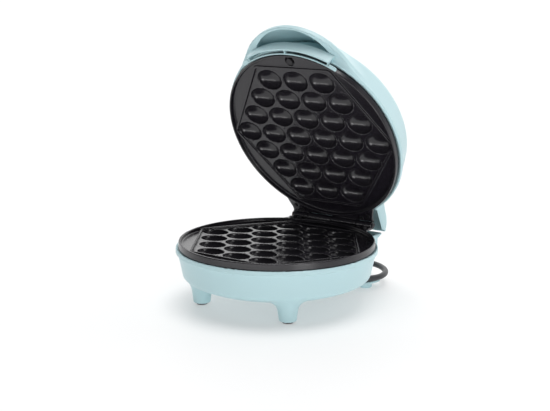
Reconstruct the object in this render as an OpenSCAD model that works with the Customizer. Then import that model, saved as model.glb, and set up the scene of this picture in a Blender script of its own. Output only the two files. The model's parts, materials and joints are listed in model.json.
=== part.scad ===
// Round bubble-waffle maker with thirty egg-shaped cavities, standing open on its feet.
// Frame: X to the right, Y to the rear (the hinge side), Z up. The origin is on the floor, below the middle
// of the open appliance's bounding box without its lead. Everything is drawn about the bowl's axis and then
// moved forward by bowl_axis.
// The lid is drawn closed and then swung up about the hinge axis by lid_open.

/* [Casings] */
// Outer radius of both casings at their rims
casing_r = 102.2; // [98:0.2:106]
// Wall thickness of the plastic mouldings
wall = 2.4; // [2:0.1:3]
// Height of the lower casing's rim above the floor
rim_z = 57; // [52:0.5:60]
// Height of the bowl's flat bottom above the floor
bowl_z = 16.6; // [14:0.2:20]
// Height of the lid's top above its own plate
lid_h = 46; // [40:0.5:52]

/* [Cooking plates] */
// Radius of each cooking plate
plate_r = 99.7; // [96:0.1:100]
// Height of the lower plate's flat surface above the floor
web_z = 59.8; // [57:0.2:62]
// Distance between the two plates' flat surfaces when closed
web_gap = 10; // [9:0.5:12]
// Height of each plate's rim above its flat surface
rim_h = 4; // [3:0.1:4.3]
// Spacing of the cavities along a row
pitch_x = 31.7; // [31:0.1:33]
// Spacing of the rows
pitch_y = 22.3; // [22:0.1:23]
// Length of a cavity's mouth
cavity_len = 28.8; // [27:0.1:30]
// Radius of a cavity's cross-section
cavity_r = 10.4; // [9.5:0.1:10.8]

/* [Hinge] */
// Distance of the hinge axis behind the bowl's axis
hinge_y = 103.5; // [103:0.1:106]
// Height of the hinge axis above the floor
hinge_z = 64.5; // [64:0.1:66]
// Angle the lid is open
lid_open = 63.4; // [0:0.1:98]
// Diameter of the hinge pin
pin_d = 3; // [2.5:0.1:3.5]
// Outer diameter of the knuckles
knuckle_d = 8; // [7:0.1:8.4]
// Half the width of the row of knuckles
barrel_half = 51; // [48:0.5:51]

/* [Handle] */
// Radius of the handle visor's front edge in plan
visor_r = 69.5; // [66:0.5:72]
// Distance of the visor's own axis in front of the bowl's axis
visor_y = 54.2; // [52:0.2:56]
// Half the angle that the front collar spans
collar_half = 28; // [22:1:32]

/* [Stand] */
// Half the spacing of the front legs
leg_x = 53; // [48:1:58]
// Distance of the front legs in front of the bowl's axis
leg_y = 56; // [50:1:60]
// Half the width of the cord tray
tray_half = 65; // [58:1:68]

/* [Mains lead] */
// Diameter of the lead
cord_d = 6.2; // [6:0.1:6.4]

/* [Hidden] */

// Distance of the bowl's axis in front of the frame's origin
bowl_axis = 16.8;

$fn = 96;
aqua = "#b4d8dc";
charcoal = "#3a3a40";
dark_grey = "#4c4d52";
steel = "#b9bbbe";
eps = 0.01;
// Height of the upper plate's flat surface when the lid is closed
lid_web = web_z + web_gap;
// Rim height of the lid's casing when closed, as far above its plate as the bowl's rim is below its own
lid_rim = lid_web + web_z - rim_z;
plate_t = 3;
// Gap between the knuckles, and between a knuckle and the other plate's tongue
knuckle_gap = 0.6;
knuckle_ends = [-barrel_half, -31, 0, 31, barrel_half];
tongue_t = 3;
cavity_rows = [3, 4, 5, 6, 5, 4, 3];
// Hexagonal block that holds the cavities
hex_points = [[93, 0], [38, 79.5], [-38, 79.5], [-93, 0], [-38, -79.5], [38, -79.5]];
ridge_points = [[97, 0], [39.5, 83.6], [-39.5, 83.6], [-97, 0], [-44.5, -82.4], [44.5, -82.4]];
block_h = 11.6;
// The base neck's half width, which passes inside the lid's neck
neck_half = 51.8;
lid_neck_half = 54.4;
lid_neck_r = 27;
neck_wall = 2.2;
// Height of the lower edge of the lid neck's side walls above the hinge axis
neck_edge = 8.7;
pad_h = 1.4;

// Points of an arc round c from angle a to angle b, in n steps
function arc(c, r, a, b, n = 6) =
    [for (i = [0:n]) [c[0] + r * cos(a + (b - a) * i / n), c[1] + r * sin(a + (b - a) * i / n)]];

// Moves what is drawn about the bowl's axis to its place in the frame
module placed() {
    translate([0, -bowl_axis, 0])
        children();
}

// Swings what is drawn closed to the open lid's place
module lid() {
    translate([0, hinge_y, hinge_z])
        rotate([-lid_open, 0, 0])
            translate([0, -hinge_y, -hinge_z])
                children();
}

// A prism along X of a profile given as Y and Z
module along_x(half) {
    translate([-half, 0, 0])
        rotate([90, 0, 90])
            linear_extrude(2 * half)
                children();
}

module x_cylinder(x0, x1, r) {
    translate([x0, 0, 0])
        rotate([0, 90, 0])
            cylinder(r = r, h = x1 - x0);
}

// ---- Lower casing ----

// Bowl profile, inset by t: flat bottom, shallow rise, round corner and a slightly conical wall
function bowl_profile(t) = concat(
    [[0, bowl_z + t]],
    arc([54, bowl_z + 85], 85 - t, -90, -63.5, 6),
    arc([88.8, bowl_z + 15.2], 7 - t, -63.5, -14, 4),
    [[casing_r - 0.7 - t, rim_z - 3.3], [casing_r - t, rim_z], [0, rim_z]]
);

module bowl_solid(t) {
    rotate_extrude()
        polygon(bowl_profile(t));
}

// Base neck round the hinge: Y and Z of its side profile, with its lip at the top
base_neck = [[60, 30], [96, 27], [108, 31], [115, 39], [115, 48], [123, 51], [123, 53.3], [60, 53.3]];
base_neck_hollow = [[50, 33], [95, 30], [106.5, 33], [112.6, 40], [112.6, 60], [50, 60]];

module front_leg(x) {
    translate([x, -leg_y, pad_h])
        cylinder(r1 = 8.6, r2 = 12, h = 27);
}

module leg_pad_recess(x) {
    translate([x, -leg_y, pad_h - eps])
        cylinder(r = 6.2, h = 1.2);
}

// Screw bosses inside the bowl: X and Y of the four plate screws
plate_screw_at = [[-62, -40], [62, -40], [-62, 40], [62, 40]];
// X and Y of the four tray screws
tray_screw_at = [[-20, 64], [20, 64], [-20, 80], [20, 80]];

module base_casing() {
    color(aqua) difference() {
        union() {
            bowl_solid(0);
            along_x(neck_half) polygon(base_neck);
            for (x = [-leg_x, leg_x]) front_leg(x);
        }
        difference() {
            bowl_solid(wall);
            for (p = plate_screw_at) translate([p[0], p[1], 0]) cylinder(r = 4.5, h = 44);
            for (p = tray_screw_at) translate([p[0], p[1], 0]) cylinder(r = 3.6, h = 29);
        }
        // Seat for the plate's skirt
        translate([0, 0, rim_z - 8]) cylinder(r = plate_r + 0.6, h = 10);
        along_x(neck_half - wall) polygon(base_neck_hollow);
        for (x = [-leg_x, leg_x]) leg_pad_recess(x);
        for (p = plate_screw_at) translate([p[0], p[1], 0]) {
            cylinder(r = 2.1, h = 60);
            translate([0, 0, 10]) cylinder(r = 4, h = 13.5);
        }
        for (p = tray_screw_at) translate([p[0], p[1], 0]) cylinder(r = 1.6, h = 27);
        // Cable way down into the tray's post
        translate([0, 72, 0]) cylinder(r = 5, h = 24);
    }
}

// ---- Rear stand: post, cord tray and rear feet ----

tray_z = 8.6;
tray_t = 5.4;
ledge_t = 2.8;
post_half = 26;
post_y0 = 58;
post_y1 = 87;
relief_z = 13.8;
rear_pad_at = [[-50, 92], [50, 92]];

module rounded_slab(x, y0, y1, r) {
    union() {
        translate([-x + r, y0]) square([2 * (x - r), y1 - y0]);
        translate([-x, y0 + r]) square([2 * x, y1 - y0 - 2 * r]);
        for (p = [[-x + r, y0 + r], [x - r, y0 + r], [-x + r, y1 - r], [x - r, y1 - r]])
            translate(p) circle(r = r);
    }
}

module cord_tray() {
    color(aqua) difference() {
        union() {
            translate([0, 0, tray_z - ledge_t]) intersection() {
                linear_extrude(ledge_t) rounded_slab(tray_half, 42, 108, 12);
                translate([0, 109.2, -1]) cylinder(r = 66.2, h = ledge_t + 2, $fn = 144);
            }
            translate([0, 0, tray_z - tray_t])
                linear_extrude(tray_t - 1)
                    rounded_slab(post_half + 3, post_y0 - 3, post_y1 + 3, 8);
            translate([0, 0, tray_z - 1])
                linear_extrude(12)
                    rounded_slab(post_half, post_y0, post_y1, 6);
        }
        // The bowl's own underside shapes the top of the post
        rotate_extrude()
            polygon(concat(
                [[0, bowl_z - 0.05]], arc([54, bowl_z + 85], 85.05, -90, -60, 6), [[104, 40], [0, 40]]
            ));
        translate([0, 72, 5]) cylinder(r = 5, h = 20);
        // Way out for the lead and its strain relief
        translate([0, 66, relief_z]) rotate([-90, 0, 0]) cylinder(r = 3.2, h = 30);
        translate([0, 80, relief_z]) rotate([-90, 0, 0]) cylinder(r = 4.2, h = 10);
        for (p = tray_screw_at) translate([p[0], p[1], 0]) {
            cylinder(r = 1.8, h = 30);
            cylinder(r = 3.4, h = 6);
        }
        for (p = rear_pad_at) translate([p[0], p[1], 0]) cylinder(r = 7.2, h = tray_z - ledge_t + 1);
    }
}

module front_foot_pads() {
    color(dark_grey) for (x = [-leg_x, leg_x]) {
        translate([x, -leg_y, 0]) cylinder(r1 = 5.4, r2 = 6, h = 0.8);
        translate([x, -leg_y, 0.8]) cylinder(r = 6, h = pad_h + 1.1 - 0.8);
    }
}

module rear_foot_pads() {
    color(dark_grey) for (p = rear_pad_at) translate([p[0], p[1], 0]) {
        cylinder(r1 = 6.2, r2 = 7, h = 0.8);
        translate([0, 0, 0.8]) cylinder(r = 7, h = tray_z - ledge_t + 1 - 0.8 - eps);
    }
}

// ---- Cooking plates ----

// A capsule lying along X, half sunk into the plate: one cavity
module cavity() {
    half = cavity_len / 2 - cavity_r;
    x_cylinder(-half, half, cavity_r);
    for (x = [-half, half]) translate([x, 0, 0]) sphere(r = cavity_r);
}

module cavities() {
    for (row = [0:6])
        for (i = [0:cavity_rows[row] - 1])
            translate([(i - (cavity_rows[row] - 1) / 2) * pitch_x, (row - 3) * pitch_y, 0.6])
                cavity($fn = 48);
}

// Knuckles from the k-th gap on, every other one
module knuckles(first) {
    for (k = [first, first + 2])
        translate([0, hinge_y, hinge_z])
            x_cylinder(
                knuckle_ends[k] + knuckle_gap / 2, knuckle_ends[k + 1] - knuckle_gap / 2, knuckle_d / 2
            );
}

// Room for the other plate's knuckles
module knuckle_room(first) {
    for (k = [first, first + 2])
        translate([0, hinge_y, hinge_z])
            x_cylinder(
                knuckle_ends[k] - knuckle_gap / 2,
                knuckle_ends[k + 1] + knuckle_gap / 2,
                knuckle_d / 2 + knuckle_gap
            );
}

module pin_bore() {
    translate([0, hinge_y, hinge_z]) x_cylinder(-60, 60, pin_d / 2 + 0.05);
}

// Tongue that carries the knuckles, in plan
tongue = [
    [-56, 80], [56, 80], [barrel_half, hinge_y - 8],
    [barrel_half, hinge_y], [-barrel_half, hinge_y], [-barrel_half, hinge_y - 8]
];
// X and Y of the screws in each tongue
tongue_screw_at = [[-46.5, 93], [46.5, 93], [-38, 96], [38, 96]];

// A cooking plate facing up with its flat surface at height 0 and its skirt below
module plate_body() {
    difference() {
        union() {
            translate([0, 0, -plate_t]) cylinder(r = plate_r, h = plate_t);
            translate([0, 0, -plate_t - 5.5]) difference() {
                cylinder(r = plate_r, h = plate_t + 5.5 + rim_h);
                translate([0, 0, -1]) cylinder(r = plate_r - 3, h = 30);
            }
            intersection() {
                translate([0, 0, -block_h]) linear_extrude(block_h) polygon([for (p = hex_points) p * 1.07]);
                translate([0, 0, -block_h]) cylinder(r = plate_r - 2, h = block_h);
            }
            linear_extrude(2) difference() {
                polygon([for (p = ridge_points) p * 1.013]);
                polygon([for (p = ridge_points) p * 0.987]);
            }
        }
        cavities();
    }
}

module lower_plate() {
    color(charcoal) difference() {
        union() {
            difference() {
                union() {
                    translate([0, 0, web_z]) plate_body();
                    difference() {
                        translate([0, 0, web_z + 0.4]) linear_extrude(tongue_t) polygon(tongue);
                        cylinder(r = plate_r - 1.5, h = 80);
                    }
                }
                knuckle_room(0);
            }
            knuckles(1);
        }
        pin_bore();
        for (p = plate_screw_at) translate([p[0], p[1], web_z - block_h - 1]) cylinder(r = 2.05, h = 4.2);
    }
}

module upper_plate() {
    color(charcoal) lid() difference() {
        union() {
            difference() {
                union() {
                    translate([0, 0, lid_web]) mirror([0, 0, 1]) plate_body();
                    difference() {
                        translate([0, 0, lid_web - 0.4 - tongue_t]) linear_extrude(tongue_t) polygon(tongue);
                        cylinder(r = plate_r - 1.5, h = 100);
                    }
                }
                knuckle_room(1);
            }
            knuckles(0);
        }
        pin_bore();
        for (p = plate_screw_at) translate([p[0], p[1], lid_web + 8.8]) cylinder(r = 1.65, h = 4);
        translate([0, -90, lid_web]) cylinder(r = 2, h = 20, center = true);
        translate([0, -90, lid_web - 1]) cylinder(r = 4, h = 2);
    }
}

// ---- Heating parts, drawn under a plate whose flat surface is at height 0 and faces up ----

module element() {
    z = -block_h - 3.4;
    color(steel) {
        translate([0, 0, z]) rotate([0, 0, 105])
            rotate_extrude(angle = 330)
                translate([62, 0]) circle(r = 3.2, $fn = 32);
        for (a = [105, 75]) rotate([0, 0, a]) translate([62, 0, z]) {
            translate([0, 0, -9]) cylinder(r = 4.2, h = 12.2);
            translate([0, 0, -15]) cylinder(r = 1.4, h = 7, $fn = 24);
        }
    }
}

module reflector() {
    z = -block_h - 12;
    color(steel) difference() {
        union() {
            translate([0, 0, z]) cylinder(r = 86, h = 0.8);
            translate([0, 0, z]) difference() {
                cylinder(r = 86, h = 5);
                translate([0, 0, -1]) cylinder(r = 85.2, h = 7);
            }
        }
        for (a = [105, 75]) rotate([0, 0, a]) translate([62, 0, z - 1]) cylinder(r = 5.2, h = 4);
        for (p = plate_screw_at) translate([p[0], p[1], z - 1]) cylinder(r = 6, h = 8);
        translate([0, 66, z - 1]) cylinder(r = 2.4, h = 4);
        translate([0, 0, z - 1]) cylinder(r = 12, h = 4);
    }
}

module lower_heating_element() {
    translate([0, 0, web_z]) element();
}

module lower_reflector() {
    translate([0, 0, web_z]) reflector();
}

module thermostat() {
    z = web_z - block_h;
    color("#d8cfc0") translate([0, 0, z - 9.1]) cylinder(r = 8, h = 9);
    color(steel) {
        translate([0, 0, z - 11.1]) cylinder(r = 6, h = 2);
        for (x = [-4, 4]) translate([x - 0.4, -3, z - 16]) cube([0.8, 6, 5]);
    }
}

module fuse(z) {
    color("#e8e4da") translate([30, 0, z])
        rotate([90, 0, 0]) cylinder(r = 2.4, h = 14, center = true, $fn = 32);
    color(steel) for (y = [-12, 6.9]) translate([30, y, z])
        rotate([-90, 0, 0]) cylinder(r = 0.8, h = 5.1, $fn = 24);
}

module lower_thermal_fuse() {
    fuse(web_z - block_h - 2.6);
}

module terminal_block() {
    color("#efe9dc") difference() {
        translate([-16, 38, bowl_z + wall + 0.1]) cube([32, 14, 9]);
        for (x = [-10, 0, 10]) translate([x, 37, bowl_z + wall + 5])
            rotate([-90, 0, 0]) cylinder(r = 2, h = 20, $fn = 24);
    }
}

module base_wires() {
    z = bowl_z + wall + 5;
    color("#c9a24a") tube([[-10, 52.5, z], [-10.5, 55, z + 1], [-13, 57.2, 27], [-14.8, 57.3, 32]], 1.2, 8);
    color("#7a4a2c") tube([[10, 52.5, z], [10.5, 55, z + 1], [13, 57.2, 27], [14.8, 57.3, 32]], 1.2, 8);
    color("#4f8f52") tube([[0, 52.5, z], [0, 57, z + 1], [0, 61, 28], [0, 63, 31.6]], 1.2, 8);
}

module earth_screw() {
    color(steel) {
        translate([0, 66, 33.4]) cylinder(r = 2, h = web_z - plate_t - 33.4 - 8.7, $fn = 32);
        translate([0, 66, 32.2]) cylinder(r = 3.6, h = 1.2, $fn = 32);
    }
}

module lower_plate_screws() {
    color(steel) for (p = plate_screw_at) translate([p[0], p[1], 23.4]) {
        cylinder(r = 2, h = web_z - block_h - 23.4 + 3, $fn = 32);
        translate([0, 0, -2.5]) cylinder(r = 3.6, h = 2.6, $fn = 32);
    }
}

module tray_screws() {
    color(steel) for (p = tray_screw_at) translate([p[0], p[1], 0]) {
        translate([0, 0, 5.9]) cylinder(r = 1.5, h = 20, $fn = 24);
        translate([0, 0, 3.6]) cylinder(r = 3, h = 2.4, $fn = 24);
    }
}

// Screws through a tongue whose outer face is at height z
module tongue_screws(z) {
    color(steel) for (p = tongue_screw_at) translate([p[0], p[1], z]) {
        cylinder(r = 2.5, h = 1.3, $fn = 32);
    }
}

module lower_hinge_screws() {
    tongue_screws(web_z + 0.4 + tongue_t);
}

module upper_hinge_screws() {
    lid() tongue_screws(lid_web - 0.4 - tongue_t - 1.3);
}

pin_half = barrel_half + 0.9;

module hinge_pin() {
    color(steel) translate([0, hinge_y, hinge_z]) x_cylinder(-pin_half, pin_half, pin_d / 2);
}

module pin_clips() {
    color("#b5794a") for (x = [-barrel_half - 0.65, barrel_half + 0.05])
        translate([0, hinge_y, hinge_z])
            difference() {
                x_cylinder(x, x + 0.6, 2.7);
                x_cylinder(x - 1, x + 2, pin_d / 2);
            }
}

// ---- Lid ----

// Lid profile above its own plate, inset by t: conical wall, round shoulder, nearly flat top
function lid_profile(t) = concat(
    [[0, lid_rim], [casing_r - t, lid_rim]],
    arc([80.6, lid_web + 26.8], 14 - t, 16, 68, 5),
    arc([54, lid_web + lid_h - 85], 85 - t, 68, 90, 4),
    [[0, lid_web + lid_h - t]]
);

module dome_solid(t) {
    rotate_extrude()
        polygon(lid_profile(t));
}

// Visor section as radius from its own axis and height above the lid's plate, inset by t
function visor_profile(t) = concat(
    [[0, 7.3]],
    [[visor_r - t, 7.3], [visor_r - t, 12.5]],
    arc([visor_r - 72.5, -41], 90 - t, 39, 70, 6),
    [[0, 43.6 - t]]
);

module visor_solid(t) {
    translate([0, -visor_y, lid_web])
        rotate_extrude()
            polygon(visor_profile(t));
}

// Lid neck: side profile round the hinge axis, with a lip at its rear end
function lid_neck(r, z0, a1) = concat(
    [[60, z0], [60, hinge_z + r + 2]], arc([hinge_y, hinge_z], r, 105, a1, 8)
);

module lid_casing() {
    color(aqua) lid() difference() {
        union() {
            dome_solid(0);
            intersection() {
                visor_solid(0);
                translate([-80, -140, 0]) cube([160, 74, 140]);
            }
            along_x(lid_neck_half)
                polygon(concat(
                    lid_neck(lid_neck_r, hinge_z + neck_edge, 40), [[hinge_y + 14, hinge_z + neck_edge]]
                ));
            // Lip at the neck's rear edge
            along_x(lid_neck_half)
                polygon(concat(
                    arc([hinge_y, hinge_z], lid_neck_r + 1.8, 45, 40, 2),
                    arc([hinge_y, hinge_z], lid_neck_r - neck_wall, 40, 45, 2)
                ));
            // Front lip that covers the plate's edge
            rotate([0, 0, -90])
                sector(plate_r + 0.9, casing_r - 0.4, lid_web - 4.6, lid_rim + 1, collar_half);
        }
        difference() {
            dome_solid(wall);
            for (p = plate_screw_at) translate([p[0], p[1], lid_web + 20]) cylinder(r = 4.5, h = 60);
        }
        // Hollow under the visor, in front of the dome's wall
        difference() {
            visor_solid(wall);
            dome_solid(0);
            translate([0, 0, lid_web - 5]) cylinder(r = casing_r, h = 9);
        }
        // Seat for the plate's skirt
        translate([0, 0, lid_rim - 2]) cylinder(r = plate_r + 0.6, h = 10);
        along_x(lid_neck_half - neck_wall)
            polygon(concat(lid_neck(lid_neck_r - neck_wall, hinge_z, 30), [[hinge_y + 26, hinge_z]]));
        for (p = plate_screw_at) translate([p[0], p[1], lid_web]) cylinder(r = 1.7, h = 36);
        for (x = [-9, 9]) translate([x, 30, lid_web + 20]) cylinder(r = 3.55, h = 40);
    }
}

// A ring sector about +X, from radius r0 to r1, height z0 to z1, half angle a
module sector(r0, r1, z0, z1, a) {
    rotate([0, 0, -a])
        rotate_extrude(angle = 2 * a)
            polygon([[r0, z0], [r1, z0], [r1, z1], [r0, z1]]);
}

// Collar under the handle: a flared band with a ledge back to the casing
module front_collar() {
    color(aqua) lid() rotate([0, 0, -90]) {
        rotate([0, 0, -collar_half])
            rotate_extrude(angle = 2 * collar_half)
                polygon([
                    [105, lid_web - 4.6], [106.4, lid_web - 4.6], [108.2, lid_web + 6.8],
                    [100.44, lid_web + 9], [100.91, lid_web + 7.4], [106.2, lid_web + 5.6]
                ]);
        for (a = [-collar_half + 0.6, 0, collar_half - 0.6]) rotate([0, 0, a])
            translate([102.25, -0.6, lid_web - 4]) cube([3.3, 1.2, 9.5]);
    }
}

module upper_heating_element() {
    lid() translate([0, 0, lid_web]) mirror([0, 0, 1]) element();
}

module upper_reflector() {
    lid() translate([0, 0, lid_web]) mirror([0, 0, 1]) reflector();
}

module upper_thermal_fuse() {
    lid() fuse(lid_web + block_h + 2.6);
}

module lamp_holder() {
    color("#efe9dc") lid() difference() {
        translate([-16, 25, lid_web + 36]) cube([32, 10, 3]);
        for (x = [-9, 9]) translate([x, 30, lid_web + 30]) cylinder(r = 2, h = 12, $fn = 32);
    }
}

module lamp_lens(x) {
    lid() translate([x, 30, lid_web + 39.1]) {
        cylinder(r = 3.5, h = lid_h - 39.1 + 0.6, $fn = 48);
    }
}

module power_lamp_lens() {
    color("#c8312b") lamp_lens(-9);
}

module ready_lamp_lens() {
    color("#4fae5a") lamp_lens(9);
}

module upper_plate_screws() {
    color(steel) lid() {
        for (p = plate_screw_at) translate([p[0], p[1], lid_web + 9]) cylinder(r = 1.6, h = 24, $fn = 24);
        translate([0, -90, lid_web - 0.8]) cylinder(r = 3.4, h = 1.6, $fn = 32);
        translate([0, -90, lid_web - 0.8]) cylinder(r = 1.9, h = 9, $fn = 32);
    }
}

module lid_wires() {
    z = lid_web + 31;
    color("#c9a24a") lid() {
        tube([[-18.9, 60.2, z - 3], [-20, 55, z], [-18, 45, z + 3], [-12, 36, z + 5]], 1.2, 8);
        tube([[18.9, 60.2, z - 3], [20, 55, z], [18, 45, z + 3], [12, 36, z + 5]], 1.2, 8);
    }
}

// ---- Mains lead ----

relief_len = 25;
relief_tip = post_y1 - 3 + relief_len + 3;
floor_z = cord_d / 2 + 0.05;
on_tray = tray_z + cord_d / 2 + 0.1;
coil_c = [-48, 186];
// Radius of the coil's outer turns and of its outer shape
coil_r = 37.3;
coil_half = cord_d + 0.2;
// Centre line: from the strain relief round the right end of the tray, before the post and back to the floor
route = [
    [0, 112, 13.8], [0.5, 117, 13.8], [3.5, 124, 13.7], [10, 131, 13.5], [20, 135.5, 13.2], [32, 136.5, 13],
    [44, 132.5, 12.7], [55, 124, 12.3], [62, 112, 12], [63.5, 98, 11.8], [58, 84, 11.8], [48, 72, 11.8],
    [36, 60.5, 11.8], [22, 52, 11.8], [7, 48, 11.8], [-8, 48, 11.8], [-23, 52, 11.8], [-37, 60.5, 11.8],
    [-49, 72, 11.8], [-58.5, 86, 11.8], [-65, 98, 11.8], [-70.5, 108, 11], [-75.5, 117, 8.2], [-78, 127, 5],
    [-76.5, 137, 3.4], [-70.5, 144.5, 3.15], [-62, 148.3, 3.15], [-52, 148.7, 3.15]
];
// Centre line from the back of the coil to the plug
plug_route = [
    [-48, 223.3, 9.3], [-58, 222.4, 8.6], [-69, 219.4, 7], [-79.5, 213.8, 5.6], [-88.5, 206, 5.4],
    [-95, 196.8, 7], [-98.3, 188, 9], [-99, 181, 10]
];

module tube(points, r, n) {
    count = len(points);
    function ahead(i) = points[min(i + 1, count - 1)] - points[max(i - 1, 0)];
    function unit(v) = v / norm(v);
    function side(i) = unit(cross(ahead(i), [0, 0, 1]));
    function over(i) = unit(cross(side(i), ahead(i)));
    rings = [
        for (i = [0:count - 1]) for (k = [0:n - 1])
            points[i] + r * cos(360 * k / n) * side(i) + r * sin(360 * k / n) * over(i)
    ];
    sides = [
        for (i = [0:count - 2]) for (k = [0:n - 1])
            [i * n + k, i * n + (k + 1) % n, (i + 1) * n + (k + 1) % n, (i + 1) * n + k]
    ];
    ends = [[for (k = [n - 1:-1:0]) k], [for (k = [0:n - 1]) (count - 1) * n + k]];
    polyhedron(points = rings, faces = concat(sides, ends), convexity = 10);
}

module strain_relief() {
    color(dark_grey) translate([0, post_y1 - 6, relief_z]) rotate([-90, 0, 0]) {
        cylinder(r = 4.1, h = 6);
        translate([0, 0, 6]) cylinder(r = 5, h = 1.6);
        translate([0, 0, 7.6]) cylinder(r1 = 4.6, r2 = 3.5, h = relief_tip - post_y1 - 1.6);
    }
}

module mains_lead() {
    color(dark_grey) tube(route, cord_d / 2, 12);
}

module plug_lead() {
    color(dark_grey) tube(plug_route, cord_d / 2, 12);
}

module lead_coil() {
    color(dark_grey) translate([coil_c[0], coil_c[1], 0])
        rotate_extrude()
            translate([coil_r + 3.1 - 2 * coil_half, 0.05])
                square([2 * coil_half, 2 * coil_half - 0.25]);
}

module coil_tie() {
    color("#2c2c30") translate([coil_c[0] + coil_r + 3.1 - coil_half, coil_c[1] + 3, 0])
        rotate([90, 0, 0]) difference() {
            translate([-coil_half - 1.5, 0.05, 0]) cube([2 * coil_half + 3, 2 * coil_half + 1, 4]);
            translate([-coil_half - 0.4, 0, -1]) cube([2 * coil_half + 0.8, 2 * coil_half - 0.1, 6]);
        }
}

plug_c = [-99, 154];

module plug_body() {
    color("#2c2c30") translate([plug_c[0], plug_c[1], 0]) {
        translate([-13, -12, 0.05]) cube([26, 24, 20]);
        translate([0, 12, 10]) rotate([-90, 0, 0]) cylinder(r1 = 6.5, r2 = 4, h = 16, $fn = 32);
    }
}

module plug_pins() {
    color("#d2c08a") translate([plug_c[0], plug_c[1] - 12, 0])
        for (x = [-6.35, 6.35]) translate([x - 0.75, -16, 6.9]) cube([1.5, 16, 6.3]);
}

placed() base_casing();
placed() cord_tray();
placed() front_foot_pads();
placed() rear_foot_pads();
placed() lower_plate();
placed() lower_heating_element();
placed() lower_reflector();
placed() thermostat();
placed() lower_thermal_fuse();
placed() terminal_block();
placed() base_wires();
placed() earth_screw();
placed() lower_plate_screws();
placed() tray_screws();
placed() lower_hinge_screws();
placed() hinge_pin();
placed() pin_clips();
placed() strain_relief();
placed() mains_lead();
placed() lead_coil();
placed() coil_tie();
placed() plug_lead();
placed() plug_body();
placed() plug_pins();
placed() lid_casing();
placed() front_collar();
placed() upper_plate();
placed() upper_heating_element();
placed() upper_reflector();
placed() upper_thermal_fuse();
placed() lamp_holder();
placed() power_lamp_lens();
placed() ready_lamp_lens();
placed() upper_plate_screws();
placed() upper_hinge_screws();
placed() lid_wires();
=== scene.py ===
"""Bubble-waffle maker: smooth skins, materials, lead, lights and camera around the CAD frame."""

import json
import math

import bpy
import numpy as np
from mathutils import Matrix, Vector


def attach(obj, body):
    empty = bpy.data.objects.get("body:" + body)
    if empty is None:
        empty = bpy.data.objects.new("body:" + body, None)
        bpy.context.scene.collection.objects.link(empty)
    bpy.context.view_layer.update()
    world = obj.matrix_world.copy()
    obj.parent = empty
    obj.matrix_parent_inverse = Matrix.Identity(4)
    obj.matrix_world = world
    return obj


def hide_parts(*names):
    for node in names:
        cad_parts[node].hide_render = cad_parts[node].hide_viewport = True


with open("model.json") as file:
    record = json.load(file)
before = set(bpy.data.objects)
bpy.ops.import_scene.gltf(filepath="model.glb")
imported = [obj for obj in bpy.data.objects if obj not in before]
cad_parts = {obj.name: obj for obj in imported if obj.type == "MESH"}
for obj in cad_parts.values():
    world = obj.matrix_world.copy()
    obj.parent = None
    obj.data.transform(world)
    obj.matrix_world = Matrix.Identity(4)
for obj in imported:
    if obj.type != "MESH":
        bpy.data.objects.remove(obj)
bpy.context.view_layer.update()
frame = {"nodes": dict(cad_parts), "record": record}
scene = bpy.context.scene

# ---- Camera ----

BOWL_AXIS = 16.8  # mm in front of the frame's origin
AZIMUTH, ELEVATION, DISTANCE = 35.588, 13.8, 1.1257
AIM = Vector((0, -0.001 * BOWL_AXIS, 0.0634))


def from_angles(azimuth, elevation):
    """Unit vector from the object towards a place at that azimuth and elevation."""
    a, e = math.radians(azimuth), math.radians(elevation)
    return Vector((math.sin(a) * math.cos(e), -math.cos(a) * math.cos(e), math.sin(e)))


camera = bpy.data.objects.new("camera", bpy.data.cameras.new("camera"))
scene.collection.objects.link(camera)
camera.data.lens = 72.8
camera.data.sensor_width = 36
camera.data.shift_x = -0.0034
camera.data.shift_y = 0.061
camera.location = AIM + from_angles(AZIMUTH, ELEVATION) * DISTANCE
camera.rotation_mode = "QUATERNION"
camera.rotation_quaternion = (-from_angles(AZIMUTH, ELEVATION)).to_track_quat("-Z", "Y")
scene.camera = camera

# ---- Materials ----


def material(name, colour, roughness, metallic=0.0, ior=1.5, transmission=0.0):
    m = bpy.data.materials.new(name)
    m.use_nodes = True
    b = m.node_tree.nodes["Principled BSDF"]
    b.inputs["Base Color"].default_value = (*colour, 1)
    b.inputs["Roughness"].default_value = roughness
    b.inputs["Metallic"].default_value = metallic
    b.inputs["IOR"].default_value = ior
    b.inputs["Transmission Weight"].default_value = transmission
    return m


def grain(m, scale, strength, distance):
    """Adds a fine procedural bump to a material."""
    nodes, links = m.node_tree.nodes, m.node_tree.links
    place = nodes.new("ShaderNodeTexCoord")
    noise = nodes.new("ShaderNodeTexNoise")
    noise.inputs["Scale"].default_value = scale
    noise.inputs["Detail"].default_value = 3
    bump = nodes.new("ShaderNodeBump")
    bump.inputs["Strength"].default_value = strength
    bump.inputs["Distance"].default_value = distance
    links.new(place.outputs["Object"], noise.inputs["Vector"])
    links.new(noise.outputs["Fac"], bump.inputs["Height"])
    links.new(bump.outputs["Normal"], nodes["Principled BSDF"].inputs["Normal"])
    return m


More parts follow.
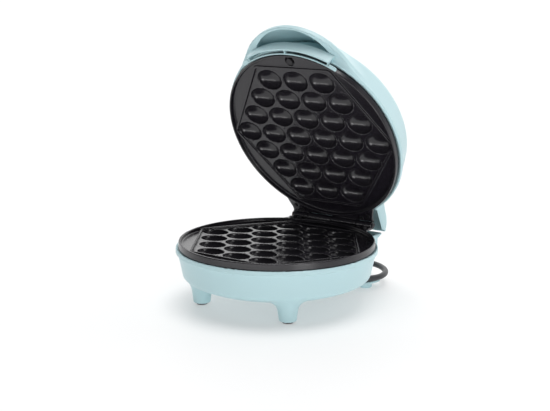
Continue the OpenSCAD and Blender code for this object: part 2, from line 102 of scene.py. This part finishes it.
MATERIALS = {
    "aqua_plastic": material("aqua_plastic", (0.5, 0.7, 0.735), 0.36, ior=1.46),
    "plate_coating": grain(
        material("plate_coating", (0.0125, 0.011, 0.015), 0.24, ior=1.55), 1400, 0.04, 0.0002
    ),
    "rubber": grain(material("rubber", (0.035, 0.036, 0.04), 0.6), 900, 0.1, 0.0002),
    "cord_sheath": material("cord_sheath", (0.035, 0.036, 0.04), 0.42),
    "black_plastic": material("black_plastic", (0.02, 0.02, 0.023), 0.4),
    "steel": material("steel", (0.45, 0.45, 0.46), 0.35, metallic=1),
    "reflector_sheet": material("reflector_sheet", (0.8, 0.81, 0.83), 0.25, metallic=1),
    "copper_clip": material("copper_clip", (0.32, 0.16, 0.09), 0.35, metallic=1),
    "brass": material("brass", (0.72, 0.58, 0.3), 0.3, metallic=1),
    "cream_plastic": material("cream_plastic", (0.78, 0.73, 0.62), 0.5),
    "red_lens": material("red_lens", (0.55, 0.03, 0.02), 0.15, transmission=0.3),
    "green_lens": material("green_lens", (0.05, 0.4, 0.1), 0.15, transmission=0.3),
    "wire_sleeve": material("wire_sleeve", (0.6, 0.45, 0.16), 0.6),
}
DARK_SCREW = material("dark_screw", (0.03, 0.029, 0.032), 0.4, metallic=0.6)

slot_of = {s["node"]: s["material_slot"] for s in frame["record"]["subparts"]}
for name, node in frame["nodes"].items():
    node.data.materials.clear()
    node.data.materials.append(MATERIALS[slot_of[name]])
for name in ("lower_hinge_screws", "upper_hinge_screws", "upper_plate_screws", "hinge_pin"):
    frame["nodes"][name].data.materials[0] = DARK_SCREW
frame["nodes"]["rear_foot_pads"].data.materials[0] = MATERIALS["aqua_plastic"]
# Only the clip at the -X end of the hinge pin is copper-coloured
clips = frame["nodes"]["pin_clips"].data
clips.materials.append(DARK_SCREW)
for face in clips.polygons:
    face.material_index = int(face.center.x > 0)

# ---- Sizes that several pieces share, in millimetres from the bowl's axis, with the lid closed ----

CASING_R, WALL = 102.2, 2.4
RIM_WALL, RIM_WALL_BACK = 4.6, 75
BOWL_Z, RIM_Z = 16.6, 57.0
PLATE_R, PLATE_GAP = 99.7, 0.5
WEB_Z, LID_WEB, LID_H = 59.8, 69.8, 46.0
HINGE_Y, HINGE_Z, LID_OPEN = 103.5, 64.5, 63.4
CORD_D, CORD_Z = 6.2, 13.8

# ---- Distance fields, negative inside ----


def arc(cx, cy, r, a, b, n=24):
    """Points along an arc from angle a to angle b, in degrees."""
    angles = [math.radians(a + (b - a) * i / n) for i in range(n + 1)]
    return [(cx + r * math.cos(t), cy + r * math.sin(t)) for t in angles]


def polygon(u, v, points):
    """Signed distance to a closed polygon."""
    best = np.full(np.shape(u), np.inf)
    inside = np.zeros(np.shape(u), bool)
    for (x0, y0), (x1, y1) in zip(points, points[1:] + points[:1]):
        ex, ey = x1 - x0, y1 - y0
        if ex * ex + ey * ey < 1e-12:
            continue
        t = np.clip(((u - x0) * ex + (v - y0) * ey) / (ex * ex + ey * ey), 0, 1)
        best = np.minimum(best, (u - x0 - t * ex) ** 2 + (v - y0 - t * ey) ** 2)
        if ey:
            inside ^= ((y0 > v) != (y1 > v)) & (u < x0 + (v - y0) * ex / ey)
    return np.where(inside, -1, 1) * np.sqrt(best)


def tabulated(points, u_range, v_range, step=0.2):
    """The same distance, read from a fine grid worked out once, for outlines with many points."""
    us = np.arange(u_range[0], u_range[1] + step, step)
    vs = np.arange(v_range[0], v_range[1] + step, step)
    table = polygon(*np.meshgrid(us, vs, indexing="ij"), points)

    def read(u, v):
        fu = np.clip((u - us[0]) / step, 0, len(us) - 1.001)
        fv = np.clip((v - vs[0]) / step, 0, len(vs) - 1.001)
        i, j = fu.astype(int), fv.astype(int)
        a, b = fu - i, fv - j
        low = table[i, j] * (1 - a) + table[i + 1, j] * a
        high = table[i, j + 1] * (1 - a) + table[i + 1, j + 1] * a
        return low * (1 - b) + high * b

    return read


def join(a, b, k):
    """Union with a fillet of about k."""
    h = np.maximum(k - np.abs(a - b), 0) / k
    return np.minimum(a, b) - h * h * k / 4


def cut(a, b, k):
    """Intersection of a and b with edges rounded by about k."""
    return -join(-a, -b, k)


def slab(x, lo, hi):
    """Distance to the layer from lo to hi."""
    return np.maximum(lo - x, x - hi)


def rounded_rectangle(x, y, half_x, half_y, r):
    """Distance to a rectangle about the origin with corners of radius r."""
    dx, dy = np.abs(x) - half_x + r, np.abs(y) - half_y + r
    return np.hypot(np.maximum(dx, 0), np.maximum(dy, 0)) + np.minimum(np.maximum(dx, dy), 0) - r


def drill(f, u, v, r, along):
    """The field f less a round hole of radius r about the line u 0, v 0, where along is negative."""
    return np.maximum(f, -np.maximum(np.hypot(u, v) - r, along))


def ellipsoid(x, y, z, a, b, c):
    """About the distance to an ellipsoid with half axes a, b and c."""
    k0 = np.sqrt((x / a) ** 2 + (y / b) ** 2 + (z / c) ** 2)
    k1 = np.sqrt((x / a**2) ** 2 + (y / b**2) ** 2 + (z / c**2) ** 2)
    return k0 * (k0 - 1) / np.maximum(k1, 1e-9)


def surface_net(f, lo, hi, step):
    """Points and quads close to the surface where f is 0: one point in each grid cell that it crosses."""
    axes = [np.arange(a, b + step, step) for a, b in zip(lo, hi)]
    value = f(*np.meshgrid(*axes, indexing="ij"))
    inside = value < 0
    n = [len(a) - 1 for a in axes]
    corner = [(i, j, k) for i in (0, 1) for j in (0, 1) for k in (0, 1)]

    def at(grid, c):
        return grid[c[0] : c[0] + n[0], c[1] : c[1] + n[1], c[2] : c[2] + n[2]]

    count = sum(at(inside, c).astype(np.int8) for c in corner)
    cells = (count > 0) & (count < 8)
    index = np.full(cells.shape, -1)
    index[cells] = np.arange(cells.sum())
    # The middle of the places where the surface crosses the edges of the cell
    total = np.zeros((int(cells.sum()), 3))
    hits = np.zeros(int(cells.sum()))
    base = np.argwhere(cells)
    for d in range(3):
        for c in corner:
            if c[d]:
                continue
            e = tuple(1 if i == d else c[i] for i in range(3))
            p, q = at(value, c)[cells], at(value, e)[cells]
            crossed = (p < 0) != (q < 0)
            t = np.where(crossed, p / np.where(crossed, p - q, 1), 0)
            for i in range(3):
                total[:, i] += crossed * (c[i] + (t if i == d else 0))
            hits += crossed
    points = (base + total / hits[:, None]) * step + np.array([a[0] for a in axes])
    # One quad round each grid edge that crosses the surface
    quads = []
    for d in range(3):
        u, v = (d + 1) % 3, (d + 2) % 3
        low = [slice(1, m) for m in n]
        high = list(low)
        low[d], high[d] = slice(0, n[d]), slice(1, n[d] + 1)
        start, end = inside[tuple(low)], inside[tuple(high)]
        for flip, mask in ((False, start & ~end), (True, ~start & end)):
            at_edge = np.argwhere(mask) + [1 if i != d else 0 for i in range(3)]
            ring = []
            for du, dv in ((-1, -1), (0, -1), (0, 0), (-1, 0)):
                cell = at_edge.copy()
                cell[:, u] += du
                cell[:, v] += dv
                ring.append(index[cell[:, 0], cell[:, 1], cell[:, 2]])
            quads.append(np.stack(ring[::-1] if flip else ring, 1))
    return points, np.concatenate(quads)


def skin(f, lo, hi, step):
    """Points, quads and normals of the surface where f is 0: a net, evened out and pulled onto it."""
    points, quads = surface_net(f, lo, hi, step)

    def gradient(p, e=0.12):
        g = np.empty_like(p)
        for i in range(3):
            o = np.zeros(3)
            o[i] = e
            g[:, i] = (f(*(p + o).T) - f(*(p - o).T)) / (2 * e)
        return g

    def pull(p, rounds):
        for _ in range(rounds):
            g = gradient(p)
            move = f(*p.T)[:, None] * g / np.maximum((g * g).sum(1), 0.2)[:, None]
            p = p - np.clip(move, -0.5 * step, 0.5 * step)
        return p

    for _ in range(2):
        near = np.zeros_like(points)
        weight = np.zeros(len(points))
        for i in range(4):
            np.add.at(near, quads[:, i], points[quads[:, (i + 1) % 4]] + points[quads[:, (i + 3) % 4]])
            np.add.at(weight, quads[:, i], 2)
        points = pull(0.5 * points + 0.5 * near / np.maximum(weight, 1)[:, None], 1)
    points = pull(points, 2)
    normals = gradient(points, 0.25)
    return points, quads, normals / np.maximum(np.linalg.norm(normals, axis=1), 1e-9)[:, None]


def swing(points, about=True):
    """From the closed lid's place to the open lid's; directions too, with about=False."""
    a = math.radians(LID_OPEN)
    centre = np.array([0, HINGE_Y, HINGE_Z]) if about else np.zeros(3)
    p = points - centre
    y = p[:, 1] * math.cos(a) + p[:, 2] * math.sin(a)
    z = -p[:, 1] * math.sin(a) + p[:, 2] * math.cos(a)
    return np.stack([p[:, 0], y, z], 1) + centre


def piece(name, field, lo, hi, step, body, replaced, slot, swung=False):
    """Makes a mesh of a field, moves it from the bowl's axis into the frame and puts it on its body."""
    points, quads, normals = skin(field, lo, hi, step)
    if swung:
        points, normals = swing(points), swing(normals, about=False)
    points = points - np.array([0, BOWL_AXIS, 0])
    mesh = bpy.data.meshes.new(name)
    mesh.vertices.add(len(points))
    mesh.vertices.foreach_set("co", (points * 0.001).astype(np.float32).ravel())
    mesh.loops.add(quads.size)
    mesh.loops.foreach_set("vertex_index", quads.astype(np.int32).ravel())
    mesh.polygons.add(len(quads))
    mesh.polygons.foreach_set("loop_start", np.arange(0, quads.size, 4, dtype=np.int32))
    mesh.update(calc_edges=True)
    mesh.shade_smooth()
    mesh.normals_split_custom_set_from_vertices(normals.astype(np.float32))
    mesh.materials.append(MATERIALS[slot])
    obj = bpy.data.objects.new(name, mesh)
    scene.collection.objects.link(obj)
    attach(obj, body)
    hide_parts(*replaced)
    print(f"{name}: {len(quads)} quads", flush=True)
    return obj


# ---- Lower casing ----

bowl_outline = tabulated(
    [(-60, BOWL_Z)]
    + arc(54, BOWL_Z + 85, 85, -90, -63.5)
    + arc(88.8, BOWL_Z + 15.2, 7, -63.5, -14)
    + [(100.1, 51.2), (100.5, 52.0), (CASING_R, 52.6), (CASING_R, 75), (-60, 75)],
    (0, 116),
    (0, 76),
)
SEAT_Z, NECK_TOP = 56.2, 53.6
LEG_X, LEG_Y = 53, -56
LEG = [(0, 3.0), (7.2, 3.0), (10.6, 30), (10.6, 34), (0, 34)]
NECK_X = 51.8
NECK = [(62, 32), (96, 29), (107, 32.8), (113, 40), (113, 49.4), (121.2, 52.2), (121.2, 51.9), (62, 51.9)]
NECK_HOLLOW = [(50, 33), (95, 30), (106.5, 33), (112.6, 40), (112.6, 60), (50, 60)]


def base_field(x, y, z):
    """The bowl with its front legs and its neck, hollowed, with a thicker wall near the rim."""
    r = np.hypot(x, y)
    bowl = bowl_outline(r, z)
    outside = bowl
    for leg_x in (-LEG_X, LEG_X):
        outside = join(outside, polygon(np.hypot(x - leg_x, y - LEG_Y), z, LEG) - 1.5, 9)
    neck = cut(polygon(y, z, NECK) - 1.6, np.abs(x) - NECK_X, 3)
    outside = join(outside, neck, 6)
    f = np.maximum(outside, -(bowl + np.where((z > 48) & (y < RIM_WALL_BACK), RIM_WALL, WALL)))
    f = cut(f, z - np.where(y > 112, NECK_TOP, RIM_Z), 0.7)
    # Seat of the plate, hollow of the neck and sockets of the pads under the legs
    f = np.maximum(f, -np.maximum(r - PLATE_R - PLATE_GAP, SEAT_Z - z))
    f = np.maximum(f, -cut(polygon(y, z, NECK_HOLLOW), np.abs(x) - (NECK_X - WALL), 2))
    for leg_x in (-LEG_X, LEG_X):
        f = drill(f, x - leg_x, y - LEG_Y, 6.2, z - 2.6)
    return f


piece(
    "base_shell", base_field, (-104, -104, 0), (104, 125, 59), 1.3,
    "base", ["base_casing"], "aqua_plastic",
)

# ---- Cord tray and its post ----

REAR_PAD_X, REAR_PAD_Y = 50, 92


def tray_field(x, y, z):
    """A half-round ledge and its post, less the bowl, the hole for the lead and the pads' sockets."""
    half_round = cut(rounded_rectangle(x, y - 75, 65, 33, 12), np.hypot(x, y - 109.2) - 66.2, 8)
    ledge = cut(half_round, slab(z, 5.8, 8.6), 1.4)
    plan = rounded_rectangle(x, y - 72.5, 26, 14.5, 6)
    post = np.minimum(np.maximum(plan, slab(z, 6, 40)), np.maximum(plan - 3, slab(z, 3.2, 7.6)))
    f = join(ledge, post, 4)
    f = np.maximum(f, -(bowl_outline(np.hypot(x, y), z) - 0.05))
    f = drill(f, x, z - CORD_Z, 4.2, slab(y, 80, 95))
    for pad_x in (-REAR_PAD_X, REAR_PAD_X):
        f = drill(f, x - pad_x, y - REAR_PAD_Y, 7.2, z - 6.8)
    return f


piece(
    "tray", tray_field, (-67, 40, 2), (67, 110, 32), 1.2,
    "base", ["cord_tray"], "aqua_plastic",
)

# ---- Cooking plates ----

PLATE_STEP = 1.13
KNUCKLE_ENDS = (-51, -31, 0, 31, 51)
KNUCKLE_R, KNUCKLE_GAP, PIN_R = 4, 0.3, 1.6
PLATE_RIM_R, RIM_LOW, RIM_HIGH, RIM_DRAFT = 96.8, -3.4, 4.0, 0.07
CAVITY, CUP = (14.4, 11.3, 9.9), (16.4, 13.3, 11.8)  # half axes inside and under the plate
CAVITY_ROWS = (3, 4, 5, 6, 5, 4, 3)
PITCH_X, PITCH_Y = 31.7, 22.3
cavity_at = [
    ((i - (count - 1) / 2) * PITCH_X, (row - 3) * PITCH_Y)
    for row, count in enumerate(CAVITY_ROWS)
    for i in range(count)
]
NUB_Y, NUB_R = 12.0, 1.0
HEXAGON = [(97.4, 0), (39.5, 83.6), (-39.5, 83.6), (-97.4, 0), (-44.5, -82.4), (44.5, -82.4)]
INNER_HEXAGON = [(px * 0.94, py * 0.94) for px, py in HEXAGON]
RIDGE_CORNER_R, RIDGE_HALF, RIDGE_H = 4.8, 1.25, 2.0
SCREW_Y, SCREW_HOLE_R = -90, 4.9


def nearest_cavity(x, y):
    """Offset from the middle of the nearest cavity."""
    best, bx, by = np.inf, 0, 0
    for cx, cy in cavity_at:
        d = ((x - cx) / CAVITY[0]) ** 2 + ((y - cy) / CAVITY[1]) ** 2
        closer = d < best
        best = np.where(closer, d, best)
        bx = np.where(closer, x - cx, bx)
        by = np.where(closer, y - cy, by)
    return bx, by


def plate_field(x, y, h, first_knuckle, hinge_h):
    """A plate facing up, its flat surface at h 0, with the hinge axis at height hinge_h."""
    r = np.hypot(x, y)
    web = np.maximum(slab(h, -3, 0), r - 98)
    sides = np.maximum(PLATE_RIM_R - r, r - PLATE_R + (h - RIM_LOW) * RIM_DRAFT)
    rim = cut(sides, slab(h, RIM_LOW, RIM_HIGH), 1.0)
    f = join(web, rim, 1.6)
    bx, by = nearest_cavity(x, y)
    cups = np.maximum(ellipsoid(bx, by, h, *CUP), h + 1)
    f = join(f, cups, 2)
    ridge = np.abs(polygon(x, y, INNER_HEXAGON) - RIDGE_CORNER_R) - RIDGE_HALF
    f = join(f, np.maximum(cut(ridge, slab(h, -1, RIDGE_H), 0.3), r - 98.5), 0.3)
    f = cut(f, -ellipsoid(bx, by, h - 0.1, *CAVITY), 0.5)
    nub = np.sqrt(bx**2 + (by - NUB_Y) ** 2 + (h + 0.2) ** 2) - NUB_R
    f = join(f, nub, 0.3)
    # The tongue makes room for the other plate's knuckles
    side = np.abs(x) - np.clip(56 - (y - 80) * 5 / 15.5, 51, 56)
    tongue = cut(np.maximum(side, slab(y, 80, HINGE_Y)), slab(h, 0.4, 3.4), 1.0)
    tongue = np.maximum(tongue, 98.5 - r)
    away = np.hypot(y - HINGE_Y, h - hinge_h)
    spans = list(zip(KNUCKLE_ENDS, KNUCKLE_ENDS[1:]))
    for lo, hi in spans[1 - first_knuckle :: 2]:
        room = np.maximum(away - (KNUCKLE_R + 0.6), slab(x, lo - KNUCKLE_GAP, hi + KNUCKLE_GAP))
        tongue = np.maximum(tongue, -room)
    f = np.minimum(f, tongue)
    for lo, hi in spans[first_knuckle::2]:
        f = join(f, cut(away - KNUCKLE_R, slab(x, lo + KNUCKLE_GAP, hi - KNUCKLE_GAP), 0.7), 1.0)
    return np.maximum(f, PIN_R - away)


def lower_plate_field(x, y, z):
    return plate_field(x, y, z - WEB_Z, 1, HINGE_Z - WEB_Z)


def upper_plate_field(x, y, z):
    """The same plate facing down, with a hole for the front screw."""
    f = plate_field(x, y, LID_WEB - z, 0, LID_WEB - HINGE_Z)
    return drill(f, x, y - SCREW_Y, SCREW_HOLE_R, slab(z, LID_WEB - 2, LID_WEB + 2))


piece(
    "lower_plate_skin", lower_plate_field, (-101, -101, WEB_Z - 13.5), (101, 109, WEB_Z + 9.5),
    PLATE_STEP, "base", ["lower_plate"], "plate_coating",
)
piece(
    "upper_plate_skin", upper_plate_field, (-101, -101, LID_WEB - 9.5), (101, 109, LID_WEB + 13.5),
    PLATE_STEP, "lid", ["upper_plate"], "plate_coating", swung=True,
)

# ---- Lid casing with its visor handle and neck ----

dome_outline = tabulated(
    [(-60, -25), (CASING_R, -25), (CASING_R, 6.4), (101.5, 7.0), (101.0, 7.6)]
    + arc(80.6, 26.8, 14, 16, 68)
    + arc(54, LID_H - 85, 85, 68, 90)
    + [(-60, LID_H)],
    (0, 150),
    (-20, 52),
)
VISOR_Y, VISOR_R, VISOR_BACK = -54.2, 69.5, -62
GRIP_Y, GRIP_R = -71, 51
VISOR_TOP = [(VISOR_R, 12.5)] + arc(-3, -41, 90, 39, 70) + [(0, 43.6)]
visor_outline = tabulated([(0, 7.3), (VISOR_R, 7.3)] + VISOR_TOP, (0, 175), (-20, 52))
visor_open = tabulated([(0, -40), (VISOR_R, -40)] + VISOR_TOP, (0, 175), (-20, 52))
LID_NECK_X, LID_NECK_R, LID_NECK_WALL = 54.4, 27, 2.2
LID_NECK_INNER = LID_NECK_R - LID_NECK_WALL
LIP_X, LIP_TURN = 52.6, 42.5
LID_SEAT = 3.8


def lid_field(x, y, z):
    """The dome, the visor and the neck that ends in a lip, hollowed; h is the height over the plate."""
    h = z - LID_WEB
    r = np.hypot(x, y)
    dome = dome_outline(r, h)
    own = np.hypot(x, y - VISOR_Y)
    visor = cut(visor_outline(own, h), y - VISOR_BACK, 3)
    outside = join(cut(dome, 2.8 - h, 0.7), visor, 8)
    # The neck is round about the hinge's axis behind it, and nearly flat ahead of it
    ny, nz = y - HINGE_Y, z - HINGE_Z
    turn = np.degrees(np.arctan2(nz, ny))
    around = np.hypot(ny, nz)
    block = np.where(ny > 0, around - LID_NECK_R, nz - LID_NECK_R - np.clip(-ny, 0, 60) * 0.1)
    neck = cut(np.maximum(block, 8.7 - nz), np.maximum(np.abs(x) - LID_NECK_X, 60 - y), 6)
    edge = np.radians(40 - turn) * around
    neck = np.maximum(neck, np.where(ny > 0, edge, -1))
    outside = join(outside, neck, 4)
    lip = cut(slab(around, 24.9, 27.8), np.abs(x) - LIP_X, 3)
    lip = cut(lip, np.radians(np.abs(turn - LIP_TURN) - 2.5) * around, 1.2)
    outside = join(outside, np.where(ny > 0, lip, 9), 1.5)
    # Hollows of the dome and the visor, seat of the plate and hollow of the neck
    f = np.maximum(outside, -(dome + np.where((h < 9) & (y < RIM_WALL_BACK), RIM_WALL, WALL)))
    grip = np.maximum(cut(visor_open(own, h) + WALL, np.hypot(x, y - GRIP_Y) - GRIP_R, 3), -dome)
    f = np.maximum(f, -grip)
    f = np.maximum(f, -np.maximum(r - PLATE_R - PLATE_GAP, slab(h, -30, LID_SEAT)))
    inner = np.where(ny > 0, around - LID_NECK_INNER, nz - LID_NECK_INNER)
    inner = np.maximum(inner, np.abs(x) - (LID_NECK_X - LID_NECK_WALL))
    return np.maximum(f, -np.maximum(inner, np.maximum(-nz, 70 - y)))


piece(
    "lid_shell", lid_field, (-104, -126, LID_WEB - 6), (104, 134, LID_WEB + 48), 1.3,
    "lid", ["lid_casing"], "aqua_plastic", swung=True,
)

# ---- Front collar ----

COLLAR = [(105.35, -4.0), (106.1, -4.0), (107.7, 6.4), (100.9, 8.4), (100.9, 8.1), (106.6, 6.2)]
COLLAR_END, STRIP_END = 28, 33.5  # degrees to each side of the front
COLLAR_RIBS = (-27.3, 0, 27.3)


def collar_field(x, y, z):
    """A band about the plate, carried by ribs that leave two slots between them."""
    h = z - LID_WEB
    r = np.hypot(x, y)
    bearing = np.degrees(np.arctan2(x, -y))
    band = cut(polygon(r, h, COLLAR) - 0.45, np.radians(np.abs(bearing) - COLLAR_END) * 106, 0.8)
    for at in COLLAR_RIBS:
        rib = np.maximum(np.abs(np.radians(bearing - at) * 104) - 0.65, slab(h, -4.2, 6))
        band = join(band, np.maximum(rib, slab(r, 101.5, 106)), 0.6)
    # Thin strip along the plate's edge, with a rounded tab at each end
    tab = np.maximum(slab(r, 100.3, 104.4), np.radians(28.2 - np.abs(bearing)) * 102)
    strip = cut(np.minimum(slab(r, 100.3, 101.7), tab), slab(h, -4.7, -3.2), 0.5)
    strip = cut(strip, np.radians(np.abs(bearing) - STRIP_END) * 102, 2.5)
    return join(band, strip, 0.4)


piece(
    "collar", collar_field, (-60, -110, LID_WEB - 6), (60, -82, LID_WEB + 11), 0.6,
    "lid", ["front_collar"], "aqua_plastic", swung=True,
)

# ---- Mains lead ----

# From the strain relief round the right rear and across the tray to the coil, then from it to the plug
ROUTE = [
    (0, 112, 13.8), (0.5, 117, 13.8), (3.5, 124, 13.7), (10, 131, 13.5), (20, 135.5, 13.2), (32, 136.5, 13),
    (44, 132.5, 12.7), (55, 124, 12.3), (62, 112, 12), (63.5, 98, 11.8), (58, 84, 11.8), (48, 72, 11.8),
    (36, 60.5, 11.8), (22, 52, 11.8), (7, 48, 11.8), (-8, 48, 11.8), (-23, 52, 11.8), (-37, 60.5, 11.8),
    (-49, 72, 11.8), (-58.5, 86, 11.8), (-65, 98, 11.8), (-70.5, 108, 11), (-75.5, 117, 8.2), (-78, 127, 5),
    (-76.5, 137, 3.4), (-70.5, 144.5, 3.15), (-62, 148.3, 3.15),
]
PLUG_ROUTE = [
    (-58, 222.4, 8.6), (-69, 219.4, 7), (-79.5, 213.8, 5.6), (-88.5, 206, 5.4), (-95, 196.8, 7),
    (-98.3, 188, 9), (-99, 181, 10),
]
COIL_X, COIL_Y = -48, 186
# Turn in degrees, radius and height, between which the coil eases from one to the next
COIL = [
    (0, 37.3, 3.15), (290, 37.3, 3.15), (370, 30.9, 3.15), (595, 30.9, 3.15), (665, 31.5, 9.35),
    (780, 34, 9.35), (900, 37.3, 9.35),
]


def coil_point(turn):
    """Point of the coil after that many degrees from its south side."""
    for (t0, r0, z0), (t1, r1, z1) in zip(COIL, COIL[1:]):
        if turn <= t1:
            break
    s = (turn - t0) / (t1 - t0)
    s = s * s * (3 - 2 * s)
    r, a = r0 + (r1 - r0) * s, math.radians(turn - 90)
    return (COIL_X + r * math.cos(a), COIL_Y + r * math.sin(a), z0 + (z1 - z0) * s)


def through(points, steps):
    """Catmull-Rom curve through the points."""
    p = [np.array(q, float) for q in points]
    p = [2 * p[0] - p[1]] + p + [2 * p[-1] - p[-2]]
    out = []
    for a, b, c, d in zip(p, p[1:], p[2:], p[3:]):
        for i in range(steps):
            t = i / steps
            square, cube = 2 * a - 5 * b + 4 * c - d, 3 * b - a - 3 * c + d
            out.append(0.5 * (2 * b + (c - a) * t + square * t**2 + cube * t**3))
    return out + [p[-2]]


line = through(ROUTE + [coil_point(t) for t in range(0, 901, 15)] + PLUG_ROUTE, 4)
curve = bpy.data.curves.new("lead", "CURVE")
curve.dimensions = "3D"
curve.bevel_depth = CORD_D / 2000
curve.bevel_resolution = 6
curve.use_fill_caps = True
spline = curve.splines.new("POLY")
spline.points.add(len(line) - 1)
for p, (x, y, z) in zip(spline.points, line):
    p.co = (x * 0.001, (y - BOWL_AXIS) * 0.001, z * 0.001, 1)
spline.use_smooth = True
lead = bpy.data.objects.new("lead", curve)
scene.collection.objects.link(lead)
curve.materials.append(MATERIALS["cord_sheath"])
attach(lead, "base")
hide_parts("mains_lead", "lead_coil", "plug_lead")

# ---- Strain relief and plug ----


def grooves(along, phase, first, last, inward):
    """Rings 3.6 mm apart between first and last, where inward is negative."""
    rings = np.abs((along - phase) % 3.6 - 1.8) - 0.55
    return np.maximum(rings, np.maximum(inward, slab(along, first, last)))


def relief_field(x, y, z):
    """A plug in the post, a flange and a tapered, grooved sleeve."""
    r = np.hypot(x, z - CORD_Z)
    taper = 4.6 - (y - 88.6) * 1.1 / 23.4
    f = np.minimum(np.maximum(r - 4.1, slab(y, 81, 88)), cut(r - 5, slab(y, 87, 88.6), 0.6))
    body = np.maximum(r - taper, slab(y, 88, 112))
    return np.minimum(f, np.maximum(body, -grooves(y, 92, 91, 108, taper - 0.9 - r)))


piece(
    "relief", relief_field, (-6, 80, 8), (6, 113, 20), 0.5,
    "base", ["strain_relief"], "rubber",
)


PLUG_X, PLUG_Y, PLUG_Z = -99, 154, 10.05


def plug_field(x, y, z):
    """A rounded block with a finger hollow at each side and a grooved neck."""
    px, py, pz = x - PLUG_X, y - PLUG_Y, z - PLUG_Z
    past = (np.abs(px) - 9.2 + np.clip(py, 0, 12) * 0.16, np.abs(py) - 8.2, np.abs(pz) - 6.2)
    body = np.sqrt(sum(np.maximum(q, 0) ** 2 for q in past))
    body = body + np.minimum(np.maximum(np.maximum(past[0], past[1]), past[2]), 0) - 3.8
    for hollow_x in (-22.5, 22.5):
        body = cut(body, -(np.hypot(px - hollow_x, py + 1) - 11.5), 1.5)
    r = np.hypot(px, pz)
    taper = 6.0 - (py - 12) * 2.1 / 16
    neck = np.maximum(r - taper, slab(py, 6, 28))
    return join(body, np.maximum(neck, -grooves(py, 13, 14, 26, taper - 1.0 - r)), 1.5)


plug = piece(
    "plug", plug_field, (-113, 141, -0.5), (-85, 183, 21), 0.6,
    "base", ["plug_body"], "black_plastic",
)

# ---- Floor and lights ----

bpy.ops.mesh.primitive_plane_add(size=60, location=(0, 0, 0))
floor = bpy.context.object
floor.name = "floor"
# A faint light of its own keeps the floor white and the shadows on it light
lit_floor = material("floor", (0.54, 0.54, 0.54), 0.6)
shader = lit_floor.node_tree.nodes["Principled BSDF"]
shader.inputs["Emission Color"].default_value = (1, 1, 1, 1)
shader.inputs["Emission Strength"].default_value = 0.36
floor.data.materials.append(lit_floor)

LIT_POINT = Vector((0, 0.033, 0.1))


def area(name, azimuth, elevation, distance, size, power):
    """A rectangular light turned towards the object, which the camera doesn't see."""
    data = bpy.data.lights.new(name, "AREA")
    data.shape = "RECTANGLE"
    data.size, data.size_y = size
    data.energy = power
    obj = bpy.data.objects.new(name, data)
    scene.collection.objects.link(obj)
    obj.location = from_angles(azimuth, elevation) * distance + LIT_POINT
    obj.rotation_mode = "QUATERNION"
    obj.rotation_quaternion = (-from_angles(azimuth, elevation)).to_track_quat("-Z", "Y")
    obj.visible_camera = False


area("strip", 4, -1, 1.5, (2.6, 0.2), 6.5)
area("fill", 95, 35, 1.9, (1.0, 1.0), 2.5)
area("side", 62, 2, 1.0, (0.4, 0.34), 2.2)
sun = bpy.data.objects.new("sun", bpy.data.lights.new("sun", "SUN"))
sun.data.energy = 2.0
sun.data.angle = math.radians(40)
sun.rotation_mode = "QUATERNION"
sun.rotation_quaternion = (-from_angles(180, 84)).to_track_quat("-Z", "Y")
scene.collection.objects.link(sun)

# The world is dim in front of the object and bright behind it to the left
world = bpy.data.worlds.new("world")
scene.world = world
world.use_nodes = True
nodes, links = world.node_tree.nodes, world.node_tree.links
place = nodes.new("ShaderNodeTexCoord")
axis = nodes.new("ShaderNodeVectorMath")
axis.operation = "DOT_PRODUCT"
axis.inputs[1].default_value = (-0.35, 0.93, -0.1)
ramp = nodes.new("ShaderNodeValToRGB")
ramp.color_ramp.elements[0].position = 0.0
ramp.color_ramp.elements[0].color = (0.06, 0.06, 0.065, 1)
ramp.color_ramp.elements[1].position = 0.45
ramp.color_ramp.elements[1].color = (1.3, 1.3, 1.3, 1)
links.new(place.outputs["Generated"], axis.inputs[0])
links.new(axis.outputs["Value"], ramp.inputs["Fac"])
links.new(ramp.outputs["Color"], nodes["Background"].inputs["Color"])
nodes["Background"].inputs["Strength"].default_value = 1.0
scene.view_settings.view_transform = "Standard"

# ---- Last update of the scene ----

bpy.context.view_layer.update()
